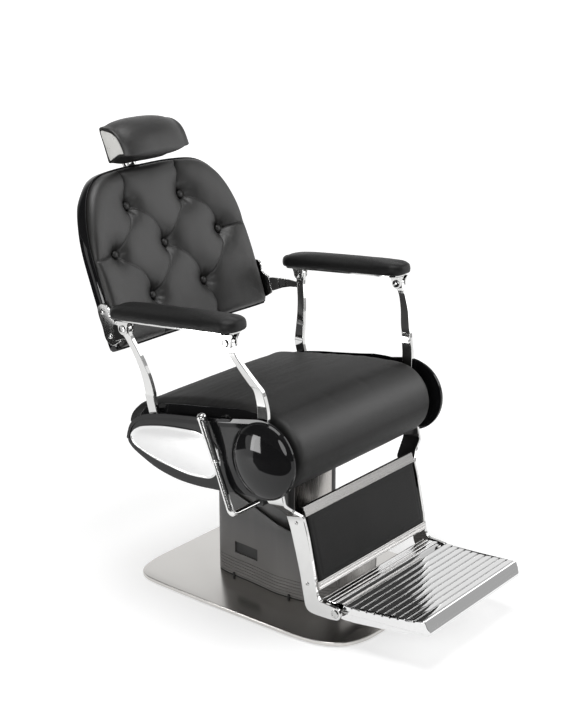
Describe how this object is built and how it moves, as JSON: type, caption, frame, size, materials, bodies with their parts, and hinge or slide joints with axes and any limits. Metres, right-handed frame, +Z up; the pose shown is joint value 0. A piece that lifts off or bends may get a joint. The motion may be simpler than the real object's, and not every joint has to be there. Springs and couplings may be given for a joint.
{
  "type": "hydraulic barber chair",
  "caption": "Reclining barber chair with a hydraulic column on a flat base plate, tufted back, adjustable headrest, level arms, swinging legrest and folding foot plate.",
  "frame": {"origin": "on the floor under the swivel axis, at the centre of the base plate", "axes": "+Z up along the lift and swivel axis; the chair faces -Y; the occupant's left is +X and right is -X"},
  "size_m": [0.649, 0.9565, 0.992],
  "materials": {
    "base_steel": "satin stainless plate",
    "foot_rubber": "black rubber",
    "pump_paint": "dark painted casting",
    "zinc": "zinc-plated fasteners",
    "seal_rubber": "black seal",
    "cover_black": "satin black",
    "front_steel": "dark satin steel",
    "inner_steel": "satin steel",
    "ram_chrome": "hard chrome",
    "chrome": "polished chrome",
    "pedal_rubber": "ribbed black rubber",
    "frame_black": "semi-gloss black",
    "shell_black": "piano black gloss",
    "ply": "plywood",
    "leather": "soft black upholstery leather",
    "footrest_alu": "polished cast aluminium",
    "trim_satin": "satin trim"
  },
  "bodies": {
    "base": {"base_plate": "base_steel", "base_mat": "foot_rubber", "pump_cylinder": "pump_paint", "pump_bolts": "zinc", "pump_gland": "seal_rubber", "lower_cover": "cover_black", "lower_front_panel": "front_steel", "cover_clips": "foot_rubber", "pedal_bracket": "pump_paint"},
    "pedal": {"pedal_arm": "chrome", "pedal_pad": "pedal_rubber"},
    "lift": {"ram": "ram_chrome", "inner_cover": "cover_black", "inner_front_panel": "inner_steel"},
    "seat": {"swivel_hub": "pump_paint", "frame_cross": "frame_black", "frame_side_right": "frame_black", "frame_side_left": "frame_black", "pivot_pins": "zinc", "shell_right": "shell_black", "shell_left": "shell_black", "dome_right": "shell_black", "dome_left": "shell_black", "side_plate_right": "chrome", "side_plate_left": "chrome", "seat_board": "ply", "seat_cushion": "leather", "lever_bracket": "frame_black", "lock_cylinder": "frame_black"},
    "lever": {"recline_lever": "chrome", "lever_sleeve": "chrome"},
    "lock": {"lock_rod": "ram_chrome"},
    "back": {"recline_shaft": "zinc", "rear_post_right": "chrome", "rear_post_left": "chrome", "back_bracket_right": "chrome", "back_bracket_left": "chrome", "bracket_screws": "zinc", "back_shell": "shell_black", "back_cushion": "leather", "back_buttons": "leather", "headrest_guide": "frame_black"},
    "post_right": {"front_post_right": "chrome"},
    "post_left": {"front_post_left": "chrome"},
    "arm_right": {"arm_plate_right": "chrome", "arm_pad_right": "leather", "arm_bolts_right": "zinc"},
    "arm_left": {"arm_plate_left": "chrome", "arm_pad_left": "leather", "arm_bolts_left": "zinc"},
    "legrest": {"leg_bar_right": "chrome", "leg_bar_left": "chrome", "leg_pad": "leather", "leg_trims": "trim_satin", "leg_screws": "zinc"},
    "footrest": {"footrest_plate": "footrest_alu"},
    "stem": {"headrest_stem": "chrome"},
    "headrest": {"headrest_bracket": "frame_black", "headrest_pad": "leather", "headrest_plates": "chrome"}
  },
  "joints": [
    {"name": "lift_slide", "type": "slide", "parent": "base", "child": "lift", "axis": [0, 0, 1], "range_m": [0, 0.12]},
    {"name": "pedal_press", "type": "hinge", "parent": "base", "child": "pedal", "pos_m": [0.061, 0.06, 0.084], "axis": [0, 1, 0], "range_deg": [0, 8], "stiffness_Nm_per_rad": 60, "springref_deg": -6.88},
    {"name": "seat_swivel", "type": "hinge", "parent": "lift", "child": "seat", "pos_m": [0, 0, 0.32], "axis": [0, 0, 1], "continuous": true},
    {"name": "back_recline", "type": "hinge", "parent": "seat", "child": "back", "pos_m": [0, 0.161, 0.374], "axis": [-1, 0, 0], "range_deg": [0, 40]},
    {"name": "post_right_swing", "type": "hinge", "parent": "seat", "child": "post_right", "pos_m": [-0.255, -0.118, 0.396], "axis": [-1, 0, 0], "range_deg": [0, 40]},
    {"name": "post_left_swing", "type": "hinge", "parent": "seat", "child": "post_left", "pos_m": [0.255, -0.118, 0.396], "axis": [-1, 0, 0], "range_deg": [0, 40]},
    {"name": "arm_right_tilt", "type": "hinge", "parent": "back", "child": "arm_right", "pos_m": [-0.294, 0.214, 0.615], "axis": [-1, 0, 0], "range_deg": [-40, 0]},
    {"name": "arm_left_tilt", "type": "hinge", "parent": "back", "child": "arm_left", "pos_m": [0.294, 0.214, 0.615], "axis": [-1, 0, 0], "range_deg": [-40, 0]},
    {"name": "legrest_swing", "type": "hinge", "parent": "seat", "child": "legrest", "pos_m": [0, -0.135, 0.337], "axis": [-1, 0, 0], "range_deg": [0, 50]},
    {"name": "footrest_fold", "type": "hinge", "parent": "legrest", "child": "footrest", "pos_m": [0, -0.262, 0.076], "axis": [-1, 0, 0], "range_deg": [0, 75]},
    {"name": "lock_slide", "type": "slide", "parent": "seat", "child": "lock", "axis": [0, -1, 0], "range_m": [0, 0.0314]},
    {"name": "lever_pull", "type": "hinge", "parent": "seat", "child": "lever", "pos_m": [-0.2, -0.057, 0.265], "axis": [-1, 0, 0], "range_deg": [0, 25], "stiffness_Nm_per_rad": 4, "springref_deg": -8.59},
    {"name": "headrest_height", "type": "slide", "parent": "back", "child": "stem", "axis": [0, 0.3469, 0.9379], "range_m": [0, 0.1]},
    {"name": "headrest_tilt", "type": "hinge", "parent": "stem", "child": "headrest", "pos_m": [0, 0.47231, 0.90426], "axis": [-1, 0, 0], "range_deg": [-8, 35]}
  ],
  "couplings": [
    {"joint": "post_right_swing", "follows": "back_recline", "ratio": 1},
    {"joint": "post_left_swing", "follows": "back_recline", "ratio": 1},
    {"joint": "arm_right_tilt", "follows": "back_recline", "ratio": -1},
    {"joint": "arm_left_tilt", "follows": "back_recline", "ratio": -1},
    {"joint": "legrest_swing", "follows": "back_recline", "ratio": 1.25},
    {"joint": "lock_slide", "follows": "back_recline", "m_per_rad": 0.04483}
  ]
}
